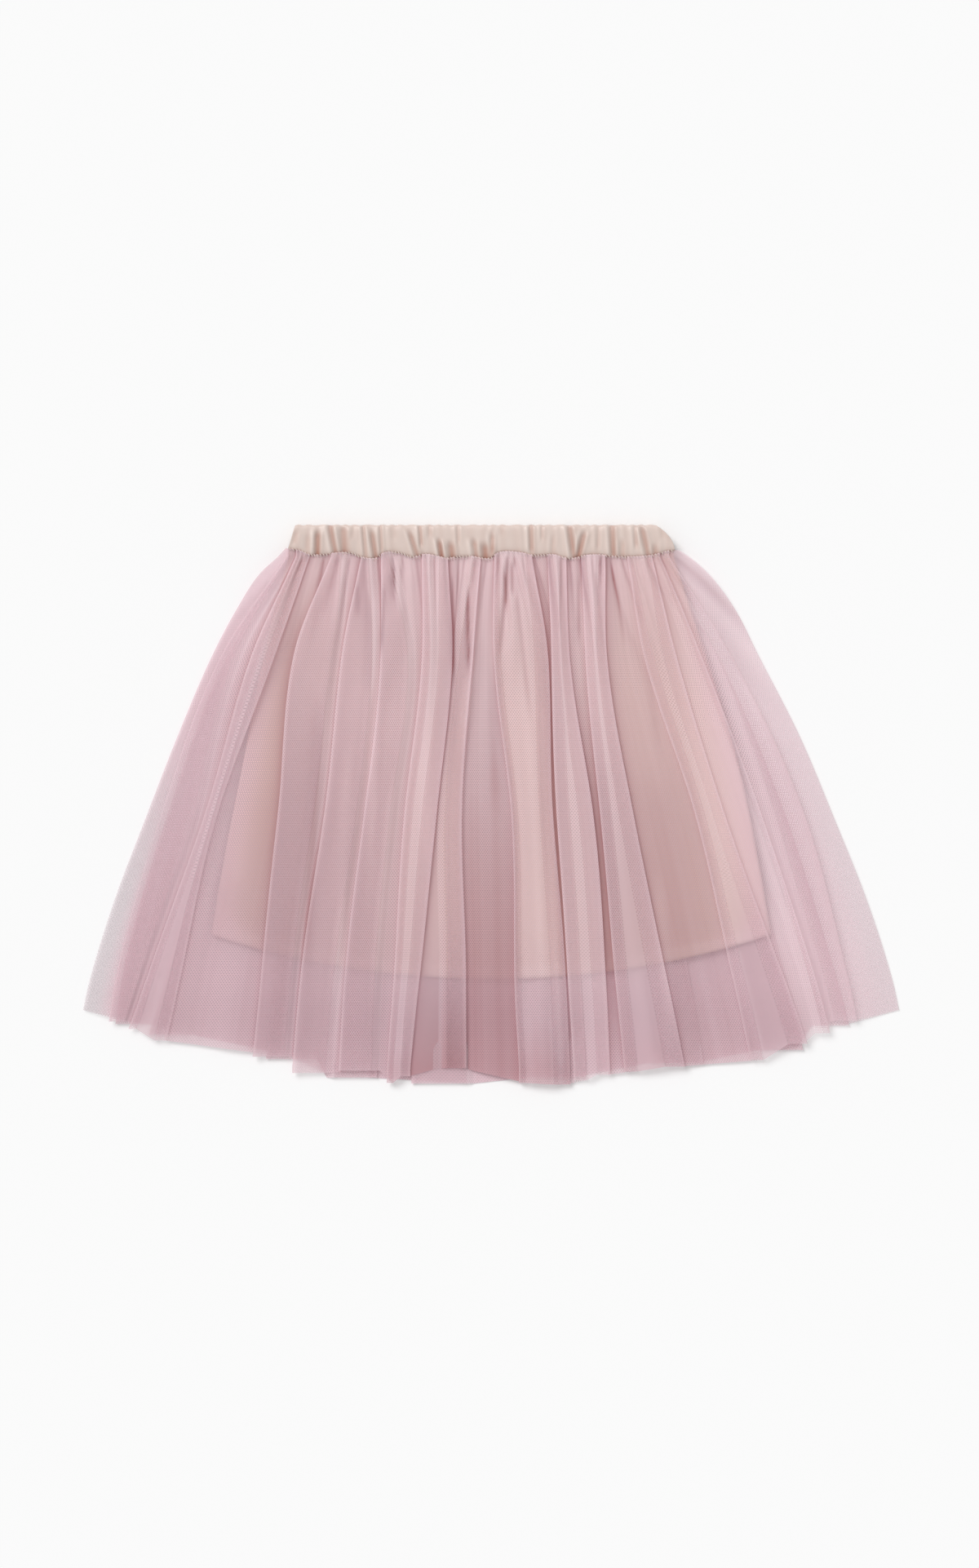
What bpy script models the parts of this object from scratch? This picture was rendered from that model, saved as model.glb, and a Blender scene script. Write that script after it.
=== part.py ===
"""A child's tulle skirt, laid flat: Blender 4.5, metres, +Z up.

The skirt lies on its back on the XY plane (z = 0), waist towards +Y, hem towards -Y, with its origin under the
middle of the whole skirt. Six sewn pieces lie on each other, each a wall of cloth with 0.3 mm to its neighbour:
tulle_back, lining_back, lining_front, tulle_front, and the two halves of the gathered waistband.

A tulle panel is a loft of sections, one for each row between the waist seam and the hem. A section runs from one
side seam to the other and turns back on itself at each fold in the tables below, so that three plies lie on each
other there. Sizes in the tables are in millimetres: across is X, and down is measured from the waist seam.
"""

import bmesh
import bpy
import math
from collections import namedtuple

MM = 0.001

# ---------------------------------------------------------------- driving sizes (mm)
SEAM_Y = 153.5          # the waist seam, from the origin
BAND_HEIGHT = 19.5      # waistband, seam to top edge
BAND_LEFT = -124.5      # waistband's ends at the seam
BAND_RIGHT = 112.5
BAND_SLANT = (4.5, 11.5)    # how much the top edge is shorter than the seam, left and right
WALL = 1.0              # thickness of a ply of cloth
GAP = 0.3               # between two pieces or plies
BAND_THICK = 4.4        # satin, gathers and elastic of one half of the waistband
LINING_HEM = 259.0      # seam to the lining's hem, at the middle
LENGTH = 313.0          # seam to the tulle's hem, at the middle

PLY = WALL + GAP                            # from one ply of a fold to the next
BACK_Z = WALL / 2                           # middle of the back panel's lowest ply
LINING_BACK_Z = BACK_Z + 3 * PLY
LINING_FRONT_Z = LINING_BACK_Z + PLY
FRONT_Z = LINING_FRONT_Z + PLY + 0.2
EDGE_Z = BACK_Z + PLY                       # front panel's side edge, on the back panel's

ROWS_DOWN = (0, 8, 20, 38, 62, 100, 150, 205, 262, 313)     # rows of a tulle panel, at the middle
STATIONS = (0, 58, 158, 258, 313)           # where the fold tables give an edge's place

# How far a tulle panel's side edges reach from the middle; the last row is the hem's corner.
Reach = namedtuple("Reach", "down left right")
SIDES = (
    Reach(-5, 126.0, 113.5),
    Reach(0, 130.5, 121.5),
    Reach(10, 141.5, 133.0),
    Reach(30, 155.0, 148.5),
    Reach(60, 171.0, 164.0),
    Reach(110, 192.5, 189.5),
    Reach(160, 212.0, 210.5),
    Reach(210, 231.0, 230.5),
    Reach(260, 246.5, 246.5),
    Reach(277, 250.5, 250.5),
)

# The waist seam rises towards its ends: where it starts to, over how far, and by how much.
Lift = namedtuple("Lift", "start over by")
LEFT_LIFT = Lift(-107.0, 16.0, 5.5)
RIGHT_LIFT = Lift(96.0, 15.0, 4.5)

# A fold's edge faces left (-1) or right (+1). Its place across is given at each station, its lap (how far the cloth
# turns back under the edge) at the seam, the middle and the hem. Two folds of one band make a tube between them.
Fold = namedtuple("Fold", "band faces seam upper middle lower hem lap_seam lap_middle lap_hem hem_down")
FRONT_FOLDS = (
    Fold("a", -1, -122.0, -152.0, -178.5, -211.0, -231.0, 2.5, 4.0, 5.0, 287.0),
    Fold("a", +1, -111.0, -131.0, -166.0, -190.0, -203.0, 2.5, 4.0, 8.0, 296.0),
    Fold("b", -1, -98.0, -120.0, -131.0, -141.0, -147.0, 6.0, 22.0, 18.0, 305.0),
    Fold("c", -1, -79.5, -91.0, -102.5, -117.0, -122.0, 4.0, 17.0, 20.0, 315.0),
    Fold("d", -1, -67.5, -67.5, -78.0, -90.0, -93.5, 4.0, 15.0, 20.0, 317.0),
    Fold("e", -1, -42.5, -42.5, -53.0, -60.0, -64.0, 3.0, 5.0, 4.0, 323.0),
    Fold("e", +1, -26.5, -24.0, -33.0, -44.0, -49.5, 5.0, 10.0, 8.0, 318.5),
    Fold("f", +1, -6.0, -11.0, -19.0, -16.5, -15.0, 4.0, 8.0, 10.0, 313.5),
    Fold("i", -1, 2.0, 1.0, 12.5, 14.0, 17.0, 3.0, 4.0, 4.0, 318.0),
    Fold("i", +1, 19.0, 31.0, 38.5, 46.5, 48.5, 5.0, 14.0, 16.0, 325.5),
    Fold("j", -1, 33.5, 34.5, 41.0, 47.5, 50.5, 3.0, 8.0, 8.0, 321.0),
    Fold("j", +1, 46.0, 48.0, 62.5, 70.5, 73.0, 3.0, 8.0, 8.0, 318.5),
    Fold("k", -1, 55.0, 57.5, 66.0, 76.0, 81.5, 3.0, 6.0, 8.0, 316.5),
    Fold("k", +1, 70.0, 71.0, 86.0, 108.0, 119.0, 4.0, 8.0, 12.0, 311.5),
    Fold("m", -1, 83.0, 93.0, 124.5, 148.0, 160.0, 3.0, 6.0, 8.0, 301.0),
    Fold("m", +1, 98.5, 113.0, 143.0, 180.0, 199.0, 4.0, 8.0, 12.0, 292.0),
)
BACK_FOLDS = (
    Fold("p", -1, -113.0, -141.0, -171.0, -200.0, -216.0, 3.0, 10.0, 14.0, 289.0),
    Fold("q", -1, -84.0, -98.0, -116.0, -131.0, -139.0, 4.0, 14.0, 18.0, 306.0),
    Fold("r", +1, -44.0, -50.0, -58.0, -66.0, -70.0, 4.0, 14.0, 16.0, 321.0),
    Fold("s", -1, -20.0, -18.0, -14.0, -10.0, -8.0, 4.0, 12.0, 14.0, 321.0),
    Fold("t", +1, 34.0, 38.0, 47.0, 55.0, 58.0, 4.0, 14.0, 18.0, 320.0),
    Fold("u", +1, 71.0, 86.0, 104.0, 122.0, 131.0, 4.0, 14.0, 18.0, 307.0),
    Fold("v", +1, 100.0, 128.0, 166.0, 199.0, 216.0, 3.0, 10.0, 14.0, 287.0),
)
SIDE_SHARES = (0.12, 0.3, 0.6)      # a section's own points, as shares of the stretch from side seam to fold,
FRONT_SHARES = (0.5,)               # and between two folds of the front
BACK_SHARES = (0.25, 0.75)          # and of the back, whose underside is flat between them
TURN = 0.9              # half-length of the turn at a fold's edge
DROP = 3.0              # across: a ply comes down from a fold in this much, at the least
PUFF = 4.5              # how far the gathers lift the front below the seam
PUFF_DOWN = 40.0        # where they lift it most
PUFF_REACH = 34.0       # how fast that fades, up and down
HEM_SETTLE = 2.0        # how far the front comes down below the lining's hem

Finish = namedtuple("Finish", "colour roughness")
TULLE = Finish((0.72, 0.42, 0.47), 0.7)
SATIN = Finish((0.80, 0.55, 0.47), 0.35)


# ---------------------------------------------------------------- helpers
def blend(a, b, t):
    return a + (b - a) * t


def smooth(t):
    t = min(max(t, 0.0), 1.0)
    return t * t * (3.0 - 2.0 * t)


def along(stations, values, at):
    """A smooth curve through the values at the stations, read at one place."""
    last = len(stations) - 1
    at = min(max(at, stations[0]), stations[last])
    i = max(k for k in range(last) if stations[k] <= at)
    slopes = [(values[k + 1] - values[k]) / (stations[k + 1] - stations[k]) for k in range(last)]
    start = slopes[0] if i == 0 else (slopes[i - 1] + slopes[i]) / 2
    end = slopes[last - 1] if i == last - 1 else (slopes[i] + slopes[i + 1]) / 2
    span = stations[i + 1] - stations[i]
    t = (at - stations[i]) / span
    return ((2 * t**3 - 3 * t**2 + 1) * values[i] + (t**3 - 2 * t**2 + t) * span * start
            + (3 * t**2 - 2 * t**3) * values[i + 1] + (t**3 - t**2) * span * end)


def side_edge(down, right):
    """Where a tulle panel's side edge lies."""
    reach = along([row.down for row in SIDES], [row.right if right else row.left for row in SIDES], down)
    return reach if right else -reach


def seam_lift(across):
    """How much higher the waist seam lies here than at its middle."""
    left = LEFT_LIFT.by * smooth((LEFT_LIFT.start - across) / LEFT_LIFT.over)
    return left + RIGHT_LIFT.by * smooth((across - RIGHT_LIFT.start) / RIGHT_LIFT.over)


def cloth_lift(across):
    """The same for a panel's coarser edge, kept clear of the waistband."""
    return seam_lift(across) * 0.85


def lining_reach(down):
    """Half the lining's width."""
    down = min(max(down, 0.0), LINING_HEM)
    return 118.0 + 0.31 * down - 0.00034 * down * down


def lining_hem_down(across):
    return LINING_HEM - 0.00088 * across * across


# ---------------------------------------------------------------- sections of a tulle panel
def fold_points(fold, v, down):
    """One fold's points, in order along the cloth from left to right: (across, ply)."""
    edge = along(STATIONS, (fold.seam, fold.upper, fold.middle, fold.lower, fold.hem), down)
    lap = along((0.0, 0.5, 1.0), (fold.lap_seam, fold.lap_middle, fold.lap_hem), v)
    turn = min(TURN, lap / 3)
    inward = -fold.faces
    tip = edge + inward * lap
    points = [
        (tip + inward * DROP, 0.0),
        (tip, 2.0),
        (edge + inward * turn, 2.0),
        (edge, 1.5),
        (edge + inward * turn, 1.0),
        (tip - inward * turn, 1.0),
        (tip, 0.5),
        (tip - inward * turn, 0.0),
    ]
    if fold.faces < 0:
        points.reverse()
    return points


def section(folds, v, spare):
    """Points of one row from the left side seam to the right one: (across, ply, down)."""
    left_down = blend(SIDES[0].down, SIDES[-1].down, v)
    right_down = blend(SIDES[0].down + 1, SIDES[-1].down, v)
    right = side_edge(right_down, True)
    row = [(side_edge(left_down, False), 0.0, left_down)]
    for number, fold in enumerate(folds):
        down = blend(-cloth_lift(fold.seam), fold.hem_down, v)
        points = fold_points(fold, v, down)
        before = folds[number - 1] if number else None
        after = folds[number + 1] if number + 1 < len(folds) else None
        if fold.faces > 0 and before and before.band == fold.band:
            points = points[1:]         # the tube's top goes straight on
        if fold.faces < 0 and after and after.band == fold.band:
            points = points[:-1]
        start = row[-1]
        for share in spare[number]:
            row.append((blend(start[0], points[0][0], share), blend(start[1], points[0][1], share),
                        blend(start[2], down, share)))
        row += [(across, ply, down) for across, ply in points]
    start = row[-1]
    for share in spare[len(folds)]:
        row.append((blend(start[0], right, share), 0.0, blend(start[2], right_down, share)))
    row.append((right, 0.0, right_down))
    return row


def front_height(across, ply, down):
    """Height of the front tulle's middle surface: on the lining, down to the back panel at its sides."""
    reach = abs(side_edge(down, across > 0))
    inside = max(reach - abs(across), 0.0)
    room = max(reach - lining_reach(down), 4.0) * 0.8
    rise = smooth(inside / room)
    edge = blend(FRONT_Z, EDGE_Z, smooth(down / 40.0))
    puff = PUFF * math.exp(-((down - PUFF_DOWN) / PUFF_REACH) ** 2) * smooth(inside / 40.0)
    puff *= smooth(down / 12.0)
    settle = HEM_SETTLE * smooth((down - LINING_HEM - 4.0) / 40.0)
    return blend(edge, FRONT_Z + puff - settle, rise) + ply * PLY


def back_height(across, ply, down):
    return BACK_Z + ply * PLY


def tulle_rows(folds, height, spare):
    rows = []
    for row_down in ROWS_DOWN:
        v = row_down / LENGTH
        row = []
        for across, ply, down in section(folds, v, spare):
            down = max(down, -cloth_lift(across))
            row.append((across, SEAM_Y - GAP - down, height(across, ply, down)))
        rows.append(row)
    return rows


# ---------------------------------------------------------------- sections of a lining panel and of the waistband
def lining_rows(height):
    rows = []
    for number in range(8):
        v = number / 7
        row = []
        for step in range(-6, 7):
            share = math.sin(step / 6 * math.pi / 2)      # closer together towards the side seams
            across = share * lining_reach(v * LINING_HEM)
            down = v * lining_hem_down(across)
            middle = blend((BAND_LEFT + BAND_RIGHT) / 2, 0.0, smooth(down / 150.0))
            down -= (1 - v) * cloth_lift(middle + across)
            row.append((middle + share * lining_reach(down), SEAM_Y - GAP - down, height))
        rows.append(row)
    return rows


def band_section(share):
    """How far the waistband's gathers stand out, at a share of its length: a few uneven waves."""
    wave = 0.55 * math.sin(share * 57.0) + 0.35 * math.sin(share * 97.0 + 1.3)
    return wave * smooth(share / 0.04) * smooth((1 - share) / 0.04)


def band_mesh(name, low, up):
    """One half of the waistband: flat on one side, gathered on the other, with a rounded top edge."""
    columns = 45
    profile = ((0.0, 0.0), (1.0, 0.0), (1.0, 0.55), (0.85, 0.95), (0.5, 1.0), (0.12, 0.95), (0.0, 0.7))
    mesh = bmesh.new()
    rings = []
    for column in range(columns):
        share = column / (columns - 1)
        ring = []
        for tall, deep in profile:
            left = BAND_LEFT + BAND_SLANT[0] * tall
            right = BAND_RIGHT - BAND_SLANT[1] * tall * tall
            across = blend(left, right, share)
            lift = seam_lift(blend(BAND_LEFT, BAND_RIGHT, share)) * (1 - tall)
            height = deep * (BAND_THICK - 0.9 + band_section(share))
            z = low + height if up else low + BAND_THICK - height
            y = SEAM_Y + lift + tall * BAND_HEIGHT
            ring.append(mesh.verts.new((across * MM, y * MM, z * MM)))
        rings.append(ring)
    size = len(profile)
    for first, second in zip(rings, rings[1:]):
        for k in range(size):
            mesh.faces.new((first[k], first[(k + 1) % size], second[(k + 1) % size], second[k]))
    mesh.faces.new(rings[0])
    mesh.faces.new(rings[-1])
    bmesh.ops.recalc_face_normals(mesh, faces=mesh.faces)
    return finish_mesh(name, mesh)


# ---------------------------------------------------------------- objects
def finish_mesh(name, mesh):
    data = bpy.data.meshes.new(name)
    mesh.to_mesh(data)
    mesh.free()
    return bpy.data.objects.new(name, data)


def cloth(name, rows):
    """A wall of cloth on a grid of rows: an open surface with Solidify, half of the wall on each side."""
    mesh = bmesh.new()
    grid = [[mesh.verts.new((x * MM, y * MM, z * MM)) for x, y, z in row] for row in rows]
    for upper, lower in zip(grid, grid[1:]):
        for k in range(len(upper) - 1):
            mesh.faces.new((upper[k], lower[k], lower[k + 1], upper[k + 1]))
    piece = finish_mesh(name, mesh)
    wall = piece.modifiers.new("wall", "SOLIDIFY")
    wall.thickness = WALL * MM
    wall.offset = 0.0
    return piece


def material(name, finish):
    made = bpy.data.materials.new(name)
    made.use_nodes = True
    shader = made.node_tree.nodes["Principled BSDF"]
    shader.inputs["Base Color"].default_value = (*finish.colour, 1.0)
    shader.inputs["Roughness"].default_value = finish.roughness
    return made


def spare_points(folds, inner):
    """Shares of each stretch between folds where a section gets points of its own, with most beside the side seams."""
    between = [() if first.band == second.band else inner for first, second in zip(folds, folds[1:])]
    return [SIDE_SHARES] + between + [tuple(1 - share for share in reversed(SIDE_SHARES))]


def main():
    for thing in list(bpy.data.objects):
        bpy.data.objects.remove(thing)
    skirt = bpy.data.collections.new("tulle_skirt")
    bpy.context.scene.collection.children.link(skirt)
    front = tulle_rows(FRONT_FOLDS, front_height, spare_points(FRONT_FOLDS, FRONT_SHARES))
    back = tulle_rows(BACK_FOLDS, back_height, spare_points(BACK_FOLDS, BACK_SHARES))
    pieces = (
        (cloth("tulle_back", back), TULLE),
        (cloth("lining_back", lining_rows(LINING_BACK_Z)), SATIN),
        (cloth("lining_front", lining_rows(LINING_FRONT_Z)), SATIN),
        (cloth("tulle_front", front), TULLE),
        (band_mesh("waistband_back", 0.0, False), SATIN),
        (band_mesh("waistband_front", BAND_THICK + GAP, True), SATIN),
    )
    for piece, finish in pieces:
        piece.data.materials.append(material(piece.name, finish))
        skirt.objects.link(piece)


main()
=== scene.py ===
"""Looks of a child's tulle skirt, laid flat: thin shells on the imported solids, finishes, light and camera.

The tables are in millimetres, in the part's own frame: across is X, and down is measured from the waist seam
towards the hem. The folds repeat part.py's tables, with the narrow ones that the solids leave out.
"""

import bpy
import bmesh
import math
import numpy as np
from collections import namedtuple
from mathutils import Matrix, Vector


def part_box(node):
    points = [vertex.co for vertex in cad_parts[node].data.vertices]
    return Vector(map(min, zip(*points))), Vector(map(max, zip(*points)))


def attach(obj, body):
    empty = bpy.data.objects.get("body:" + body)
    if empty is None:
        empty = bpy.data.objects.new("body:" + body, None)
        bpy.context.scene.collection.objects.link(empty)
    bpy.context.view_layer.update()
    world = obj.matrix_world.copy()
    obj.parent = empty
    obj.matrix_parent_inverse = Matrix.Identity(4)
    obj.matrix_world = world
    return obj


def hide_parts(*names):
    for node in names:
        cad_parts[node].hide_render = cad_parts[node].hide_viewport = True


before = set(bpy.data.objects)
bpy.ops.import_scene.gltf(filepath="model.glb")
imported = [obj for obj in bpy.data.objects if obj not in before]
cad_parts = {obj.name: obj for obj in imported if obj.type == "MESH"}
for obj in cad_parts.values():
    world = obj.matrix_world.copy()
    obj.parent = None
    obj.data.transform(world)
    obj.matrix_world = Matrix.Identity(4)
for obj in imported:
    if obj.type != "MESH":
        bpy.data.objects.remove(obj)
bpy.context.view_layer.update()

MM = 0.001

# ---------------------------------------------------------------- places, from the frame (mm)
band_low, band_high = [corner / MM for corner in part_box("waistband_front")]
back_low, back_high = [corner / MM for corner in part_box("waistband_back")]
SEAM_Y = band_low[1]                    # the waist seam
BAND_TOP = band_high[1]
BAND_LEFT, BAND_RIGHT = band_low[0], band_high[0]
LINING_BACK_Z, LINING_FRONT_Z = (sum(corner[2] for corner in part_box(panel)) / 2 / MM
                                 for panel in ("lining_back", "lining_front"))
FRONT_Z = LINING_FRONT_Z + 1.2          # the front tulle's lowest ply
BACK_Z = 0.35                           # the back tulle's lowest ply
EDGE_Z = 1.6                            # the front tulle's side edges, just above the back's
FRONT_OVERLOCK_Z = band_high[2] - 1.3
BACK_OVERLOCK_Z = 1.2

PLY = 0.9               # height from one ply of a fold to the next
LINING_HEM = 259.0      # seam to the lining's hem, at the middle
STATIONS = (0, 58, 158, 258, 313)
LAP_STATIONS = (0, 58, 158, 313)

# How far a tulle panel's side edges reach from the middle; the last row is the hem's corner.
Reach = namedtuple("Reach", "down left right")
SIDES = [Reach(*row) for row in (
    (-5, 126, 113.5), (0, 130.5, 121.5), (10, 141.5, 133), (30, 155, 148.5), (60, 171, 164),
    (110, 192.5, 189.5), (160, 212, 210.5), (210, 231, 230.5), (260, 246.5, 246.5), (278, 250.5, 250.5),
)]

# The waist seam's scalloped line: how much higher than SEAM_Y it lies.
Scallop = namedtuple("Scallop", "across lift")
SEAM = [Scallop(*row) for row in (
    (-126, 6), (-118, 4.5), (-112, 1.5), (-101, 1.5), (-95, 2.5), (-86, 2.5), (-80, -0.5), (-71, -1.5),
    (-66, 2.5), (-56, 2.5), (-48, -0.5), (-41, 1.5), (-33, 0), (-28, -1.5), (-21, -0.5), (-13, 0),
    (-1, -1.5), (4, 2.5), (19, 2.5), (24, 1), (39, 1), (44, -1), (50, -1.5), (57, 0.5), (67, 1), (74, 0),
    (94, 0), (101, 1.5), (108, 4), (113, 4.5),
)]

# A fold's edge faces left (-1) or right (+1): its place across at each of STATIONS, its laps (how far the
# cloth turns back under the edge) at each of LAP_STATIONS, how far down it ends, how high it is rolled, and
# how much painted shade lies on the cloth just outside it, at the same stations as its laps. Two folds of one
# band make a tube.
Fold = namedtuple("Fold", "band faces across laps hem_down roll darks", defaults=(0, (0, 0, 0, 0)))
FRONT_FOLDS = [Fold(*row) for row in (
    ("rim", -1, (-125.2, -164, -203, -230, -238), (1.2, 8, 20, 30), 285, 0.3, (0, 0, 0, 0)),
    ("a", -1, (-119.5, -145.5, -176, -211, -231), (2, 6, 4, 5), 289.5, 1, (0.8, 0.8, 0.4, 0)),
    ("a", +1, (-111, -131, -168, -190, -203), (2.5, 8, 5, 8), 296.5, 1, (0.5, 0.35, 0.3, 0.1)),
    ("b", -1, (-98, -120, -131, -141, -147), (6, 24, 24, 20), 306.5, 1.2, (0.4, 0.5, 0.5, 0.3)),
    ("c", -1, (-79.5, -91, -102.5, -117, -122), (4, 18, 20, 20), 316.5, 1.4, (0.9, 0.4, 0.3, 0.3)),
    ("d", -1, (-67.5, -67.5, -78, -90, -93.5), (4, 16, 16, 20), 315, 1.4, (0.9, 0.6, 0.3, 0.2)),
    ("e", -1, (-42.5, -42.5, -53, -60, -64), (3, 5, 5, 4), 322.5, 1.5, (0.6, 0.5, 0.2, 0.1)),
    ("e", +1, (-26.5, -24, -33, -44, -49.5), (5, 9, 10, 6), 318.5, 1.5, (0.9, 1, 0.7, 0.3)),
    ("f", +1, (-6, -11, -17.5, -15.5, -15), (4, 8, 10, 12), 313.5, 1.6, (0.5, 0.4, 0.2, 0.2)),
    ("i", -1, (2, 1, 12.5, 14, 17), (3, 4, 4, 4), 322.5, 1.3, (0.5, 0.4, 0.3, 0.5)),
    ("i", +1, (25, 34.5, 38, 45.8, 48.5), (4, 8, 8, 10), 323.5, 1.3, (0.6, 1, 0.9, 0.2)),
    ("j", -1, (34.5, 36.7, 40, 47, 50.5), (3, 6, 8, 8), 321, 1.4, (0.5, 0.6, 0.5, 0.2)),
    ("j", +1, (46, 48, 62.5, 70.5, 73), (3, 6, 9, 8), 317.5, 1.4, (0.6, 0.3, 0.8, 0.5)),
    ("k", -1, (55, 57.5, 66.5, 76, 81.5), (3, 5, 7, 8), 315.5, 1.4, (0.9, 0.2, 0.8, 0.3)),
    ("k", +1, (70, 71, 87, 108, 119), (4, 6, 9, 12), 312.5, 1.4, (0.7, 0.5, 0.4, 0.4)),
    ("m", -1, (83, 93, 124.5, 148, 160), (3, 6, 6, 8), 308.5, 0.8, (0.2, 0.15, 0.2, 0)),
    ("m", +1, (98.5, 113, 143, 180, 199), (3, 8, 8, 12), 298.5, 1, (0.4, 0.15, 0.1, 0)),
    ("n", +1, (103.5, 128, 165.5, 199, 213), (1.5, 3, 3.5, 4), 292, 0.8, (0.3, 0.15, 0.05, 0)),
    ("rim", +1, (109, 146, 192, 219, 230), (1.5, 8, 18, 13), 284.5, 0.5, (0, 0, 0, 0)),
)]
BACK_FOLDS = [Fold(*row) for row in (
    ("o", -1, (-122, -160, -199, -226, -234), (2, 10, 20, 16), 286.5),
    ("p", -1, (-113, -141, -171, -200, -216), (3, 8, 14, 22), 293),
    ("q", -1, (-84, -98, -116, -131, -139), (4, 14, 22, 26), 308),
    ("r", +1, (-44, -50, -58, -66, -70), (4, 14, 22, 26), 319.5),
    ("s", -1, (-26, -26, -33, -44, -49), (4, 12, 22, 34), 323),
    ("t", +1, (34, 38, 47, 55, 58), (4, 14, 22, 26), 319),
    ("u", +1, (71, 86, 104, 122, 131), (4, 14, 24, 30), 310.5),
    ("v", +1, (92, 118, 152, 181, 194), (3, 10, 20, 24), 302.5),
    ("w", +1, (104, 138, 180, 212, 226), (2, 8, 14, 18), 287.5),
)]

# What lies between one fold's edge and the next, from the left side edge to the right one: how many plies'
# worth of net is bunched there, and how much light or shade is painted on it (-1 painted shade of a hollow,
# 1 painted full light), at STATIONS.
Stretch = namedtuple("Stretch", "full lit", defaults=((0, 0, 0, 0, 0),))
FRONT_STRETCHES = [Stretch(*row) for row in (
    ((3, 2.3, 1.4, 1.1, 1.3), (0.2, 0.1, 0.1, 0, 0)),
    ((3.4, 2.4, 2, 2.6, 3.1), (0.2, 0.3, 0.2, 0, -0.2)),
    ((3.2, 2.7, 2.4, 2.5, 2.3), (0.4, 0.6, 0.2, 0, -0.1)),     # tube a
    ((3.2, 1.5, 1.1, 2.5, 3.2), (0.6, 0.3, 0.1, 0, 0)),        # the lining shows here
    ((4.2, 3.8, 3.6, 3.6, 3.4), (1.1, 0.9, 0.2, -0.1, 0)),
    ((4.4, 4.2, 3.8, 3.8, 3.2), (1.3, 1.3, 0.4, 0.3, 0.1)),
    ((4.4, 4.2, 3.8, 3.6, 3.5), (1.1, 1.4, 0.6, 0.1, 0)),
    ((4, 3.8, 3.2, 3.3, 4.4), (1.1, 1.6, 1.3, 0.7, -0.3)),     # tube e
    ((4, 3, 2.2, 2.9, 5.4), (1.6, 0.5, 0.6, -0.2, -0.9)),
    ((4.4, 4.2, 3.6, 3.9, 5.2), (1.7, 0.8, -0.2, -0.7, -0.8)),
    ((4, 2.4, 1.8, 2.1, 4.4), (1.4, 1.6, 0.8, 0.4, -0.5)),     # tube i
    ((3.4, 1.6, 0.8, 1.4, 2.8), (0.9, -0.2, -0.8, -0.4, 0)),   # a slot
    ((4.2, 4, 3.6, 3.2, 2.4), (1.1, 1.4, 1.3, 1.1, 0.5)),      # tube j
    ((3.8, 3, 1.6, 1.6, 2.6), (1, 0.7, -0.4, -0.5, 0)),        # a slot
    ((4.2, 3.8, 3.6, 3.3, 3.9), (1.3, 1.5, 0.7, 0.3, -0.3)),   # tube k
    ((3.4, 1.9, 1.5, 1.9, 3.8), (1.1, 1.2, 0, -0.2, -0.2)),    # the lining shows here
    ((2.8, 2, 1.6, 2, 3), (1.3, 1.5, 1.1, 0.4, -0.2)),         # tube m
    ((2.4, 1.9, 1.5, 1.6, 1.8), (1.1, 1.3, 1.5, 1.1, 0.4)),
    ((2, 1.7, 1.9, 1.8, 1.7), (1.1, 1, 0.9, 0.7, 0.3)),
    ((2.2, 1.4, 1, 1, 1.2), (0.8, 0.4, 0.3, 0.2, 0.2)),
)]
BACK_STRETCHES = (
    Stretch((2, 1.6, 1.2, 1.1, 1.3)),
    Stretch((2.4, 2.2, 2, 2.6, 3)),
    Stretch((3, 2.2, 2.2, 3.2, 3.6)),
    Stretch((3, 3, 3, 3.2, 3.6)),
    Stretch((3, 3, 3, 6, 5.4)),
    Stretch((3, 3, 3.4, 5.8, 5.8)),
    Stretch((3, 3, 3, 4.8, 4.8)),
    Stretch((3, 2.4, 2.6, 4.4, 4.2)),
    Stretch((2, 1.6, 1.6, 1.9, 2)),
    Stretch((1.5, 0.9, 0.9, 1, 1.2)),
)

# Soft ridges and troughs (height below 0) in the front, from one place to another.
Ridge = namedtuple("Ridge", "across_from down_from across_to down_to wide height")
FRONT_RIDGES = [Ridge(*row) for row in (
    (-5, 8, -15, 110, 4, 0.9), (2, 62, 5, 150, 4.5, -0.4), (-66, 14, -73, 190, 2.2, 0.8),
    (-73, 20, -74, 80, 1.6, -1), (-49, 5, -64, 80, 4, 0.7), (-60, 10, -68, 70, 2, -0.8),
    (11, 6, 6, 60, 2, -1.3), (15, 8, 24, 90, 2, -1.2), (12, 20, 14, 70, 3, 0.8),
    (-91, 6, -104, 90, 3.5, 0.6), (-105, 4, -118, 70, 3, 0.5), (-36, 10, -38, 170, 4, 0.7),
    (-102, 100, -112, 250, 4, -0.6), (-60, 140, -70, 260, 3, 0.5), (-86, 120, -94, 290, 3, 0.6),
    (26, 100, 34, 260, 3.5, 0.6), (52, 20, 56, 80, 2.5, 0.5), (98, 6, 150, 190, 5, 0.7),
    (82, 10, 122, 150, 3, 0.4), (-132, 40, -180, 240, 5, 0.4), (-160, 60, -205, 230, 5, -0.3),
    (130, 40, 196, 250, 4, 0.4), (146, 60, 205, 230, 4, -0.4), (88, 8, 104, 120, 2.5, -0.6),
    (-20, 4, -19, 60, 2, -0.5), (64, 8, 70, 60, 1.4, -0.6), (74, 6, 82, 50, 1.4, -1.2),
    (-14, 14, -13, 70, 1.6, -2.3), (-23, 12, -22.5, 74, 1.2, -2.2), (54, 12, 54.5, 50, 1.5, -1.7),
    (13.5, 4, 13.5, 24, 1.6, -1.9), (8, 8, 12, 46, 1, -1.9), (-64.5, 17, -67, 57, 1.2, -2),
    (-81, 18, -80.5, 36, 1.8, -1), (34.5, 90, 43.5, 300, 3, 1.1), (104, 200, 112, 300, 4, 0.5),
    (-55, 6, -54, 26, 1.2, -1.2), (-59, 6, -59, 30, 1.2, -1.4), (-52, 5, -51, 22, 1.1, -1),
)]

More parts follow.
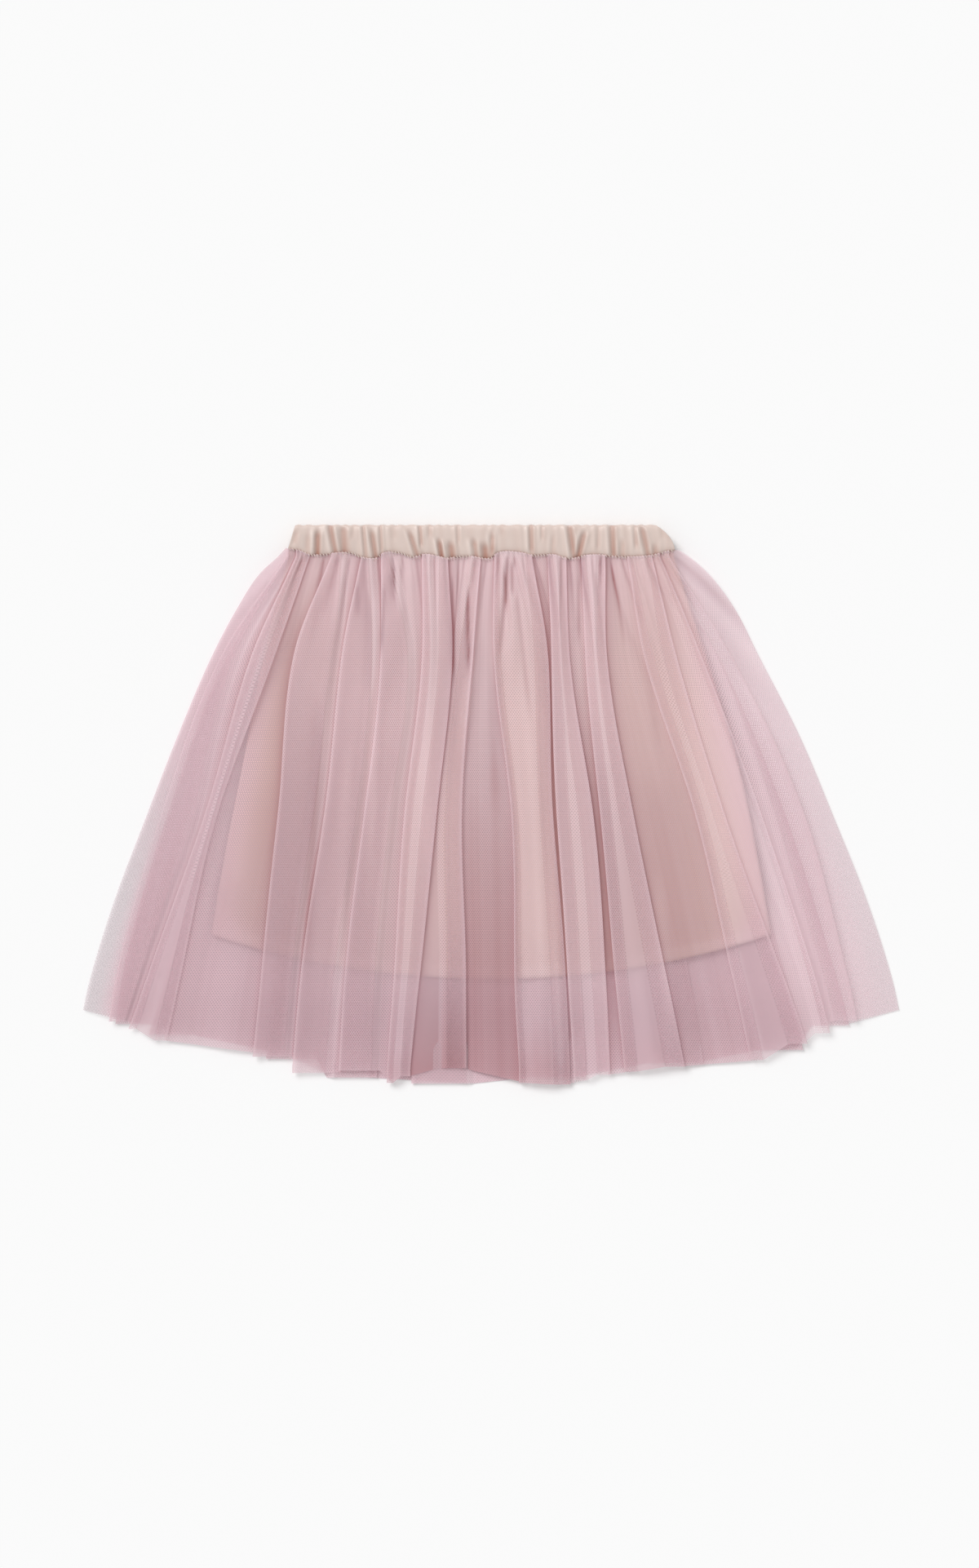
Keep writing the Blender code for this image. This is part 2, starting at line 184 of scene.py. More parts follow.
DROP = 5.0              # across: a ply comes down from a fold in this much, where there is room
PUFF = 4.0              # how far the gathers lift the front below the seam,
PUFF_DOWN = 40.0        # where most,
PUFF_REACH = 34.0       # and how fast that fades
HEM_SETTLE = 4.4        # how far the front comes down below the lining's hem
TOP_GLOW = 0.55         # painted light on the puffed top, which faces the light, fading this far down
GLOW_REACH = 110.0      # fading this far down

# Small gathers below the seam: a ridge (or a valley, if the height is below 0), its half-width, how far it
# reaches, and how far it leans across by 60 mm down.
Gather = namedtuple("Gather", "across wide height reach lean")
GATHERS = [Gather(*row) for row in (
    (-118, 1.8, 1.2, 60, 0), (-114, 1.2, -1.2, 30, 2), (-106, 1.8, 1.4, 34, 3), (-101.5, 1.1, -1.6, 40, 2),
    (-97, 2, 1.2, 60, 0), (-93, 1, -1.2, 46, -3), (-89, 1.5, 1.4, 70, -3), (-86, 0.9, -1.6, 44, -5),
    (-82, 1.6, 1.2, 50, -4), (-77, 1, -1.4, 60, 2), (-73, 2.2, 1.8, 90, 3), (-69, 0.9, -1.2, 40, 2),
    (-64, 1.4, 1.2, 40, -4), (-60.5, 1, -1.8, 30, -6), (-57, 1.3, 1.4, 50, -12), (-54, 0.9, -1.5, 34, -9),
    (-49.5, 1.8, 1.3, 70, -8), (-45, 0.9, -1.4, 30, 0), (-39, 2.2, 1.4, 60, 0), (-34.5, 1, -1.2, 34, 2),
    (-30, 1.6, 1.4, 90, 2), (-22, 1.2, 1.2, 40, 3), (-19.5, 0.9, -1.8, 40, 4), (-15.5, 1.4, -1.2, 40, 4),
    (-11.5, 1.4, 1.5, 50, 0), (-8.5, 0.9, -1.2, 30, 0), (-2, 1.2, -1.6, 40, -4), (1.5, 1.4, 1.2, 40, -2),
    (5, 1, -1.3, 36, 0), (8, 1.6, 1.6, 70, -5), (10.5, 0.9, -1.6, 40, -4), (14.5, 1, -1.6, 46, 9),
    (17, 1.5, 1.5, 60, 8), (23, 1.3, 1.2, 30, 6), (27, 1, -1.4, 40, 8), (32, 1.6, 1, 40, 0),
    (36, 1.1, -1.4, 44, 2), (40, 1.6, 1.4, 50, 2), (43, 0.9, -1.2, 30, 2), (48.5, 1.1, -1.8, 40, 3),
    (52, 1.4, 1.3, 40, 4), (55, 1.1, -1.6, 50, 6), (60, 1.8, 1.3, 50, 4), (67.5, 0.9, -2.6, 18, 0),
    (69, 1.4, 1.4, 44, 6), (73, 1, -1.8, 50, 8), (77, 1.5, 1.3, 60, 10), (80, 0.9, -1.4, 30, 8),
    (84.5, 1.4, 1, 50, 10), (92, 1.8, 1.3, 70, 12), (95.5, 0.9, -1.3, 40, 12), (98, 1.4, 1.1, 40, 10),
    (104, 1, -1.4, 34, 10), (107, 1.6, 1.2, 70, 8), (111, 1, -1, 30, 6),
)]

# Creases in the gathered waistband: where each meets the top edge and the seam, how deep and wide it is, and
# the shares of the height (0 at the seam, 1 at the top) between which it runs.
Crease = namedtuple("Crease", "top seam depth wide low high")
BAND_CREASES = [Crease(*row) for row in (
    (-119, -122, 0.6, 1.5, 0.2, 0.7), (-112, -113.5, 0.5, 1.8, 0.1, 0.6),
    (-106.5, -107, 1.7, 1.5, -0.2, 0.75), (-99, -95.5, 1.6, 1.5, -0.2, 1.1),
    (-91.5, -90.5, 1.3, 2.1, -0.2, 0.9), (-84.5, -86, 0.4, 1.4, 0.5, 1.1), (-78.5, -77, 0.9, 1, 0, 1.1),
    (-74, -71, 1.5, 1.3, -0.2, 0.8), (-68, -67, 0.7, 0.9, 0.1, 1.1), (-59, -60, 0.3, 2.2, 0.5, 1.1),
    (-51.5, -45.5, 1.3, 1.3, -0.2, 0.75), (-44, -42.5, 0.9, 0.9, 0.3, 1.1), (-38, -38, 0.5, 1.3, 0.6, 1.1),
    (-34, -30.5, 1.8, 1.3, -0.3, 0.5), (-27, -24.5, 1.5, 1.8, -0.2, 0.45), (-20.5, -20, 0.5, 1, 0.4, 1.1),
    (-12, -9.5, 1.6, 1.6, -0.3, 0.5), (-5, -4, 1.7, 2.6, -0.3, 0.42), (0, 0.5, 1, 1.2, 0.1, 0.7),
    (6, 7, 0.3, 2, 0.6, 1.1), (24, 24.5, 1.1, 1.2, 0.1, 1.1), (31, 31, 0.5, 0.9, 0.5, 1.1),
    (38.5, 37, 0.4, 1.2, 0, 0.6), (47.5, 50.5, 1.6, 1.5, -0.2, 1), (58, 53, 1.5, 1.5, -0.2, 0.75),
    (66, 65, 0.5, 1.2, 0.2, 1.1), (73.5, 74.5, 1.5, 1.5, 0, 1.1), (80, 80, 0.7, 1.5, -0.2, 0.5),
    (88, 89, 0.8, 1.1, 0.3, 1.1), (91.5, 96, 1.3, 1.5, -0.2, 0.9), (99, 100, 0.9, 1.6, -0.3, 0.3),
    (104, 106, 0.4, 1.6, 0.5, 1.1),
)]

# Painted highlights where the lining's satin catches the light, and painted shade where bright is below 0:
# a streak from its place across at one height to that at another.
Gleam = namedtuple("Gleam", "across_from down_from across_to down_to wide bright")
GLEAMS = [Gleam(*row) for row in (
    (-146, 60, -158, 190, 7, 0.6), (-34, 120, -36, 262, 8, 0.8), (20, 30, 28, 262, 11, 0.9),
    (116, 30, 150, 235, 12, 0.9), (-120, 40, -134, 250, 6, -0.3), (100, 140, 118, 245, 13, -0.45),
    (138, 80, 166, 236, 7, 0.8), (-144, 140, -150, 256, 22, -0.3), (-90, 20, -100, 250, 10, 0.3),
    (60, 20, 72, 250, 8, 0.2), (0, 60, 4, 250, 8, -0.3),
)]

SCALLOP_SHARE = 0.8     # how much of the seam table's lift shows
LINING_WAIST = 118.0    # half the lining's width at the seam,
LINING_FLARE = 0.31     # how it widens downwards,
LINING_EASE = 0.00034   # and how that slows
HEM_RISE = 0.00088      # how the lining's hem rises towards its sides
WANDER = 0.35           # how far a fold's edge wanders


# ---------------------------------------------------------------- curves
def blend(a, b, t):
    return a + (b - a) * t


def smooth(t):
    t = np.clip(t, 0.0, 1.0)
    return t * t * (3.0 - 2.0 * t)


def curve(stations, values, at):
    """A smooth curve through the values at the stations, read at many places at once."""
    s = np.asarray(stations, float)
    y = np.asarray(values, float)
    at = np.clip(np.asarray(at, float), s[0], s[-1])
    i = np.clip(np.searchsorted(s, at, side="right") - 1, 0, len(s) - 2)
    slopes = np.diff(y) / np.diff(s)
    ends = np.concatenate([slopes[:1], (slopes[:-1] + slopes[1:]) / 2, slopes[-1:]])
    span = s[i + 1] - s[i]
    t = (at - s[i]) / span
    return ((2 * t**3 - 3 * t**2 + 1) * y[i] + (t**3 - 2 * t**2 + t) * span * ends[i]
            + (3 * t**2 - 2 * t**3) * y[i + 1] + (t**3 - t**2) * span * ends[i + 1])


def bump(away):
    """1 in the middle, fading to both sides."""
    return np.exp(-away**2)


def fades(down, reach):
    """1 at the seam, fading downwards."""
    return bump(np.maximum(down, 0.0) / reach)


def seam_lift(across):
    return SCALLOP_SHARE * curve([s.across for s in SEAM], [s.lift for s in SEAM], across)


def side_edge(down, right):
    """The place across of a tulle panel's right or left side edge."""
    reach = curve([row.down for row in SIDES], [row.right if right else row.left for row in SIDES], down)
    return reach if right else -reach


def lining_reach(down):
    """Half the lining's width."""
    down = np.clip(down, 0.0, LINING_HEM)
    return LINING_WAIST + LINING_FLARE * down - LINING_EASE * down * down


def lining_hem_down(across):
    return LINING_HEM - HEM_RISE * across * across


def edge_at(fold, down):
    """A fold's edge; neighbours wander together, but not at the seam or the hem."""
    wander = WANDER * np.sin(0.034 * down + 0.03 * fold.across[0])
    straight = curve(STATIONS, fold.across, down)
    return straight + wander * smooth((down - 10.0) / 50.0) * smooth((300.0 - down) / 60.0)


# ---------------------------------------------------------------- tulle
ROWS = 98
ROW_CROWDING = 1.3      # above 1, the rows lie closer near the seam
STEP = 0.85             # across, at the seam: from one column of the mesh to the next
WIDE_STEPS = 0.3        # columns for each mm across, where a stretch is widest
LEAST_STEPS, MOST_STEPS = 6, 34
OUT_STEPS = 5           # from under a lap back to its edge
SIDE_STEPS = 14         # from the last fold to the side edge
TURN = 0.45             # radius of the cloth's turn at a fold's edge
LAP_ROOM = 0.8          # the share of the room that a lap may take
TUBE_LAP_ROOM = 0.45    # the same in a tube, which has a lap from each side
DROP_ROOM = 0.8         # the share of what is left that the drop beside it may take
ROLL_REACH = 6.0        # how far in from its edge a fold is rolled
GROWTH_AT = (0.0, 0.1, 0.25, 0.5, 1.0)      # shares of the length,
FOLD_GROWTH = (0.25, 1.0, 0.9, 0.55, 0.5)   # and how much of its roll a fold has there
TUBE_GROWTH = (0.3, 1.3, 1.1, 0.8, 0.7)


class Columns:
    """The columns of a tulle panel, each one value for every row."""

    def __init__(self, rows):
        self.rows = rows
        self.held = {name: [] for name in ("across", "ply", "down", "roll", "edge", "dark", "full", "lit")}

    def add(self, **values):
        whole = np.ones(self.rows)
        for name, column in self.held.items():
            column.append(values.get(name, 0.0) * whole)

    def stacked(self):
        return {name: np.stack(column, 1) for name, column in self.held.items()}


def fold_path(turn, lap, drop, has_drop):
    """A fold's path as (distance inward from its edge, ply), from under its tip to past it on top."""
    path = []
    for k in range(1, 4):
        angle = math.pi * k / 4
        path.append((lap - turn + turn * math.sin(angle), 0.5 - 0.5 * math.cos(angle)))
    for k in range(0, 4):
        path.append((blend(lap - turn, turn, k / 3), 1.0))
    for k in range(1, 4):
        angle = math.pi * k / 4
        path.append((turn - turn * math.sin(angle), 1.5 - 0.5 * math.cos(angle)))
    for share in (0.0, 0.08, 0.2, 0.35, 0.55, 0.78, 1.0):
        path.append((blend(turn, lap, share), 2.0))
    if has_drop:
        for k in range(1, 5):
            path.append((lap + drop * k / 4, 2.0 - 2.0 * smooth(k / 4)))
    return path


def roll_height(fold, inward, v):
    """How far a fold's upper plies are rolled up, by their distance from its edge."""
    return fold.roll * curve(GROWTH_AT, FOLD_GROWTH, v) * bump(inward / ROLL_REACH)


def tube_height(fold, x, edge, other, v):
    """How far a tube's top is rolled up between its two edges."""
    share = np.clip(np.abs(x - edge) / np.abs(other - edge), 0, 1)
    return fold.roll * np.sin(math.pi * share) * curve(GROWTH_AT, TUBE_GROWTH, v)


def stretch_at(stretch, down):
    return curve(STATIONS, stretch.full, down), curve(STATIONS, stretch.lit, down)


def beside(strength, away, reach=2.5):
    """The painted shade beside a fold's edge, where the cloth lies this far outside it."""
    away = np.maximum(away, 0.0)
    return strength * (0.7 * np.exp(-away / reach) + 0.3 * np.exp(-away / (3.0 * reach)))


def tulle_columns(folds, stretches):
    """A panel's columns from its left side edge to its right one, over and under each fold."""
    assert len(stretches) == len(folds) + 1
    v = np.linspace(0.0, 1.0, ROWS) ** ROW_CROWDING
    cols = Columns(ROWS)
    left_down = blend(SIDES[0].down, SIDES[-1].down, v)
    right_down = blend(SIDES[0].down + 1, SIDES[-1].down, v)
    left, right = side_edge(left_down, False), side_edge(right_down, True)
    downs = [blend(-seam_lift(fold.across[0]), fold.hem_down, v) for fold in folds]
    edges = [edge_at(fold, down) for fold, down in zip(folds, downs)]
    laps = [curve(LAP_STATIONS, fold.laps, down) for fold, down in zip(folds, downs)]
    darks = [curve(LAP_STATIONS, fold.darks, down) for fold, down in zip(folds, downs)]
    tube = [a.band == b.band and a.faces < b.faces for a, b in zip(folds, folds[1:])] + [False]

    full, lit = stretch_at(stretches[0], left_down)
    x0, d0 = left, left_down
    cols.add(across=x0, down=d0, full=full, lit=lit)
    before_dark, before_edge = 0.0, None
    for number, fold in enumerate(folds):
        edge, lap, down = edges[number], laps[number], downs[number]
        inward = -fold.faces
        after_x = edges[number + 1] if number + 1 < len(folds) else right
        before_x = edges[number - 1] if number else left
        is_top = bool(number and tube[number - 1])
        closed = tube[number] or is_top
        width = np.abs((after_x if inward > 0 else before_x) - edge)
        lap = np.minimum(lap, width * (TUBE_LAP_ROOM if closed else LAP_ROOM))
        drop = np.minimum(DROP, (width - lap) * DROP_ROOM)
        turn = np.minimum(TURN, lap / 3)
        path = fold_path(turn, lap, drop, not closed)
        if fold.faces > 0:
            path.reverse()
        full, lit = stretch_at(stretches[number], down)
        inner_full, inner_lit = stretch_at(stretches[number + 1], down) if fold.faces < 0 else (full, lit)
        start = edge + inward * path[0][0] if fold.faces > 0 else edge + lap - turn

        # up to the fold, as the lowest ply or on a tube's top; under a lap it runs in as the lowest ply
        at_seam = np.max(start[:1] - x0[:1]) / STEP
        steps = int(np.clip(np.max(start - x0) * WIDE_STEPS, at_seam, MOST_STEPS)) + LEAST_STEPS
        for k in range(1, steps):
            share = k / steps
            x = blend(x0, start, share)
            roll, dark, here_full = 0.0, 0.0, full
            if is_top:
                roll = tube_height(fold, x, edges[number - 1], edge, v)
            else:
                if fold.faces < 0:
                    here_full = blend(full, inner_full / 3, smooth(x - edge))
                    dark = beside(darks[number], edge - x)
                if before_edge is not None:
                    dark = np.maximum(dark, beside(before_dark, x - before_edge))
            cols.add(across=x, ply=2.0 if is_top else 0.0, down=blend(d0, down, share), roll=roll, dark=dark,
                     full=here_full, lit=lit)

        for inside, ply in path:
            x = edge + inward * inside
            if closed:
                other = edges[number + 1] if tube[number] else edges[number - 1]
                roll = tube_height(fold, x, edge, other, v) * ply / 2
            else:
                roll = roll_height(fold, inside, v) * ply / 2
            crisp = bump(inside / 1.1) if ply > 0.9 else 0.0
            shared = blend(1 / 3, 1.0, smooth((inside - lap + 0.5) / 1.5))
            # plies lower in a fold, and those coming back out from under its lap, get a little more painted
            # light
            cols.add(across=x, ply=ply, down=down, roll=roll, edge=crisp, full=inner_full * shared,
                     lit=inner_lit + 0.15 * (2.0 - min(ply, 2.0)))

        x0, d0 = edge + inward * path[-1][0], down
        if fold.faces > 0:
            # back out from under the lap, as the lowest ply
            for k in range(1, OUT_STEPS):
                x = blend(x0, edge, k / OUT_STEPS)
                cols.add(across=x, ply=0.0, down=down, full=inner_full / 3, lit=inner_lit + 0.3)
            x0 = x
        before_edge = edge if fold.faces > 0 else None
        before_dark = darks[number]

    full, lit = stretch_at(stretches[-1], right_down)
    for k in range(1, SIDE_STEPS + 1):
        share = k / SIDE_STEPS
        x = blend(x0, right, share)
        dark = beside(before_dark, x - before_edge) if before_edge is not None else 0.0
        cols.add(across=x, down=blend(d0, right_down, share), dark=dark, full=full, lit=lit)
    return cols.stacked()


def front_base(across, down):
    """Height of the front tulle's lowest ply: on the lining, down to the back panel at its sides."""
    reach = np.where(across < 0, -side_edge(down, False), side_edge(down, True))
    inside = np.maximum(reach - np.abs(across), 0.0)
    room = np.maximum(reach - lining_reach(down), 4.0) * 0.8
    edge = blend(FRONT_Z, EDGE_Z, smooth(down / 40.0))
    puff = PUFF * bump((down - PUFF_DOWN) / PUFF_REACH) * smooth(inside / 40.0) * smooth(down / 12.0)
    settle = HEM_SETTLE * smooth((down - LINING_HEM - 4.0) / 40.0)
    return blend(edge, FRONT_Z + puff - settle, smooth(inside / room))


def ridge_height(across, down):
    """Height, and how far the cloth is turned from the light, which comes from the left."""
    height, turned = np.zeros_like(down), np.zeros_like(down)
    for r in FRONT_RIDGES:
        share = (down - r.down_from) / (r.down_to - r.down_from)
        away = (across - blend(r.across_from, r.across_to, share)) / r.wide
        runs = smooth((share + 0.1) / 0.25) * smooth((1.2 - share) / 0.4)
        rise = r.height * runs * bump(away)
        height += rise
        turned += rise * away
    return height, turned


def gather_height(seam_across, down):
    """The same for the gathers, which are placed by where they start at the seam."""
    height, turned = np.zeros_like(down), np.zeros_like(down)
    for g in GATHERS:
        wide = g.wide * (1.0 + 0.012 * np.maximum(down, 0.0))
        away = (seam_across - g.across - g.lean * down / 60.0) / wide
        runs = smooth(down / 6.0 + 0.4) * fades(down, g.reach)
        rise = g.height * runs * bump(away)
        height += rise
        turned += rise * away
    fine = 0.25 * np.sin(seam_across * 2.1 + 0.8 * np.sin(seam_across * 0.37))
    return height + fine * fades(down, 16.0), turned


def streaks(along_cloth, down):
    """Soft streaks that run down the gathered cloth, from about -1 to 1."""
    fine = np.sin(along_cloth * 1.35 + 1.8 * np.sin(along_cloth * 0.23)) * (0.35 + 0.45 * fades(down, 90.0))
    wide = np.sin(along_cloth * 0.41 + 1.2 * np.sin(along_cloth * 0.09) + down * 0.004)
    return fine + 0.5 * wide


NET_DRAWN = 0.75        # how plainly the net is drawn, at most
RELIEF_LIT = 0.9        # how much light is painted on the cloth for each mm of relief, with this much of its turn from the light taken off as painted shade, and the whole kept between these how much the streaks add to the painted light and to the layers
TURNED_LIT = 1.2        # with this much of its turn from the light taken off,
RELIEF_LEAST, RELIEF_MOST = -3.2, 1.3       # and the whole kept between these
STREAK_LIT, STREAK_FULL = 0.10, 0.07        # how much the streaks add to the light and the layers
RIM_SHADOW_WIDE = 18.0        # the greyer strip along each side edge, painted shadow of the floor seen through the net, and how strong that painted shadow is
RIM_SHADOW_LEFT, RIM_SHADOW_RIGHT = 0.75, 0.25          # and how pale it is


def net_places(across, down, z):
    """Each point's place along the flat cloth, measured on the row halfway down, and how plainly the net is
    drawn there: less near the seam, and less where the mesh is stretched or bunched against that row."""
    middle = ROWS // 2
    arc = np.concatenate([[0.0], np.cumsum(np.hypot(*np.diff([across[middle], z[middle]], axis=1)))])
    arc = np.broadcast_to(arc, across.shape)
    run = np.hypot(np.gradient(across, axis=1), np.gradient(z, axis=1))
    stretched = np.gradient(arc, axis=1) / np.maximum(run, 0.02)
    even = smooth((np.minimum(stretched, 1.0 / stretched) - 0.4) / 0.4)
    return arc, NET_DRAWN * (1.0 - 0.8 * fades(down, 45.0)) * even


def tulle_panel(name, folds, stretches, is_front):
    """A panel's piece, and its cut width: the cloth's own length across, halfway down."""
    made = tulle_columns(folds, stretches)
    across, down, ply = made["across"], made["down"], made["ply"]
    seam_across = np.broadcast_to(across[:1], across.shape)
    tuck = -seam_lift(across[:1]) - 0.5 - down[:1]
    down = down + tuck * fades(down - down[:1], 14.0)
    relief, turned = gather_height(seam_across, down)
    if is_front:
        ridges, ridge_turned = ridge_height(across, down)
        relief, turned = relief + ridges, turned + ridge_turned
        z = front_base(across, down) + ply * PLY + made["roll"] + relief * (0.4 + ply / 3)
        z = np.maximum(z + hem_wave(across, down), BACK_Z + 0.3)
    else:
        z = BACK_Z + ply * PLY
    arc, drawn = net_places(across, down, z)
    rim = np.minimum(across - side_edge(down, False), side_edge(down, True) - across)
    streak = streaks(arc, down) * smooth(rim / 70.0)
    glow = TOP_GLOW * fades(down, GLOW_REACH) if is_front else 0.0
    relief = np.clip(relief - TURNED_LIT * turned, RELIEF_LEAST, RELIEF_MOST)
    # painted shadow: a greyer strip along the side edges, lower down, for the floor's shadow seen through the
    # net
    painted_rim_shadow = smooth((RIM_SHADOW_WIDE - rim) / 12.0) * smooth((down - 90.0) / 130.0)
    values = {
        "fold_edge": made["edge"],
        "painted_fold_shade": made["dark"],
        "plies": made["full"] * (1.0 + STREAK_FULL * streak),
        "lit": made["lit"] + glow + RELIEF_LIT * relief + STREAK_LIT * streak,
        "painted_rim_shadow": painted_rim_shadow * np.where(across < 0, RIM_SHADOW_LEFT, RIM_SHADOW_RIGHT),
    }
    points = np.stack([across, SEAM_Y - down, z], 2)
    return cloth_grid(name, points, values, np.stack([arc, down, drawn], 2)), arc[0, -1]


def hem_wave(across, down):
    """Soft waves that grow towards the hem."""
    grown = smooth((down - 180.0) / 120.0)
    return grown * (0.7 * np.sin(across * 0.071 + 0.5) + 0.45 * np.sin(across * 0.163 + 2.0))


# ---------------------------------------------------------------- meshes
def add_piece(name, data):
    piece = bpy.data.objects.new(name, data)
    bpy.context.scene.collection.objects.link(piece)
    return piece


def store(data, label, value, kind="FLOAT"):
    """Keep a value for each of a mesh's points."""
    held = data.attributes.new(label, kind, "POINT")
    held.data.foreach_set("value" if kind == "FLOAT" else "vector", np.asarray(value, np.float32).ravel())


def cloth_grid(name, points, values, net=None):
    """A sheet from a grid of points (mm), with a value for each point stored under each name."""
    rows, columns = points.shape[:2]
    data = bpy.data.meshes.new(name)
    k = np.arange(rows * columns).reshape(rows, columns)
    quads = np.stack([k[:-1, :-1], k[1:, :-1], k[1:, 1:], k[:-1, 1:]], 2).reshape(-1, 4)
    data.from_pydata((points.reshape(-1, 3) * MM).tolist(), [], quads.tolist())
    for label, value in values.items():
        store(data, label, value)
    if net is not None:
        store(data, "net", net, "FLOAT_VECTOR")
    data.shade_smooth()
    return add_piece(name, data)


# ---------------------------------------------------------------- lining
LINING_ROWS, LINING_COLUMNS = 110, 150
LINING_WALL = 0.35
HEM_STITCHING = 7.5     # the stitching's height above the lining's hem
HEM_TURNED = 8.5        # how far the hem is turned up,
HEM_THICK = 0.18        # and how much it adds
LINING_SETTLE = 2.0     # how far the lining comes down towards its hem,
SETTLE_REACH = 32.0     # over this much
FRONT_RELIEF, BACK_RELIEF = 0.6, 0.2    # how much of the waves each panel has


def gleam_light(across, down):
    """The painted highlights and shade on the lining's satin, from its gleams."""
    lit = np.zeros_like(down)
    for g in GLEAMS:
        share = (down - g.down_from) / (g.down_to - g.down_from)
        middle = blend(g.across_from, g.across_to, share)
        runs = smooth((share + 0.15) / 0.3) * smooth((1.12 - share) / 0.1)
        lit = lit + g.bright * runs * bump((across - middle) / g.wide)
    return lit


def lining_panel(name, height, is_front):
    """A lining panel, and its grid of points."""
    v = np.linspace(0, 1, LINING_ROWS)[:, None]
    share = np.linspace(-1, 1, LINING_COLUMNS)[None, :]
    hem = lining_hem_down(share * lining_reach(LINING_HEM))
    down = v * hem - (1 - v) * seam_lift(share * LINING_WAIST - 6.0)
    middle = blend((BAND_LEFT + BAND_RIGHT) / 2, 0.0, smooth(down / 150.0))
    across = middle + share * lining_reach(down)
    flat_sides = smooth((1 - np.abs(share)) / 0.1)
    gathers = 0.5 * np.sin(share * LINING_WAIST * 0.9) * bump(down / 40.0)
    waves = 0.35 * np.sin(share * 9.0 + 1.0 + 0.6 * v) + 0.25 * np.sin(share * 17.0 + 2.0)
    relief = (gathers + waves * smooth(down / 60.0) * 0.8) * flat_sides
    z = height + relief * (FRONT_RELIEF if is_front else BACK_RELIEF)

    # the turned hem: a second thickness up to its stitching, which puckers it
    from_hem = hem - down
    z = z + HEM_THICK * smooth(HEM_TURNED - from_hem)
    pucker = 0.10 * np.sin(across * 1.3 + 0.7 * np.sin(across * 0.31))
    z = z + pucker * bump((from_hem - HEM_STITCHING) / 3.0)
    z = z - LINING_SETTLE * smooth((SETTLE_REACH - from_hem) / SETTLE_REACH)

    corner = smooth((np.abs(share) - 0.70) / 0.3) * smooth((20.0 - from_hem) / 20.0)
    side = smooth((np.abs(share) - 0.86) / 0.14) * smooth(down / 80.0)
    values = {
        "painted_fold_shade": slot_painted_shadow(across, down) if is_front else np.zeros_like(down),
        # painted highlights and shade from the gleams, and a painted highlight along the hem's edge
        "lit": gleam_light(across, down) + 0.4 * smooth((9.0 - from_hem) / 2.0),
        "blush": np.clip(side + 0.8 * corner, 0.0, 1.0),
    }
    points = np.stack([across, SEAM_Y - down, z], 2)
    piece = cloth_grid(name, points, values)
    wall = piece.modifiers.new("thickness", "SOLIDIFY")
    wall.thickness = LINING_WALL * MM
    wall.offset = -1.0
    return piece, points


def slot_painted_shadow(across, down):
    """The painted shadow on the lining below the slots between the front's folds."""
    dark = np.zeros_like(down)
    for fold in FRONT_FOLDS:
        strength = curve(LAP_STATIONS, fold.darks, down)
        outside = (across - edge_at(fold, down)) * fold.faces
        near = np.where(outside > 0, np.exp(-outside / 3.5), np.exp(outside / 6.0))
        dark = np.maximum(dark, strength * near)
    return dark


# ---------------------------------------------------------------- waistband
BAND_COLUMNS, BAND_ROWS = 520, 22
LEFT_SLANT, RIGHT_SLANT = 4.5, 11.5     # how far its ends lean in by the top
BAND_FACE = 0.86        # the face's height in the casing, where it is fullest
BAND_INNER = 0.08       # the inner wall's
EDGE_FULLNESS = 0.62    # how full the casing is at its top and its seam


def band_relief(across, tall):
    """How far the creases lower the band's face (their shoulders raise it), and the painted shade in them,
    with a painted highlight beside each (below 0) and painted shade along the seam.
    """
    sunk, dark = 0.0, 0.10 * smooth((0.25 - tall) / 0.25)
    for c in BAND_CREASES:
        middle = blend(c.seam, c.top, tall)
        runs = smooth((tall - c.low + 0.15) / 0.3) * smooth((c.high + 0.15 - tall) / 0.3)
        away = (across - middle) / c.wide
        sunk = sunk + c.depth * runs * (bump(away) - 0.35 * bump((np.abs(away) - 2.0) / 0.9))
        shaded = bump((away - 0.25) * np.where(away > 0.25, 0.75, 1.3))
        dark = dark + (0.54 - 0.2 * tall) * c.depth * runs * shaded
        dark = dark - 0.16 * c.depth * runs * bump((away + 1.8) / 0.9)
    dark = dark + 0.05 * np.sin(across * 0.83 + 1.4 * np.sin(across * 0.17) + tall)
    return sunk, np.clip(dark, -0.3, 1.0)


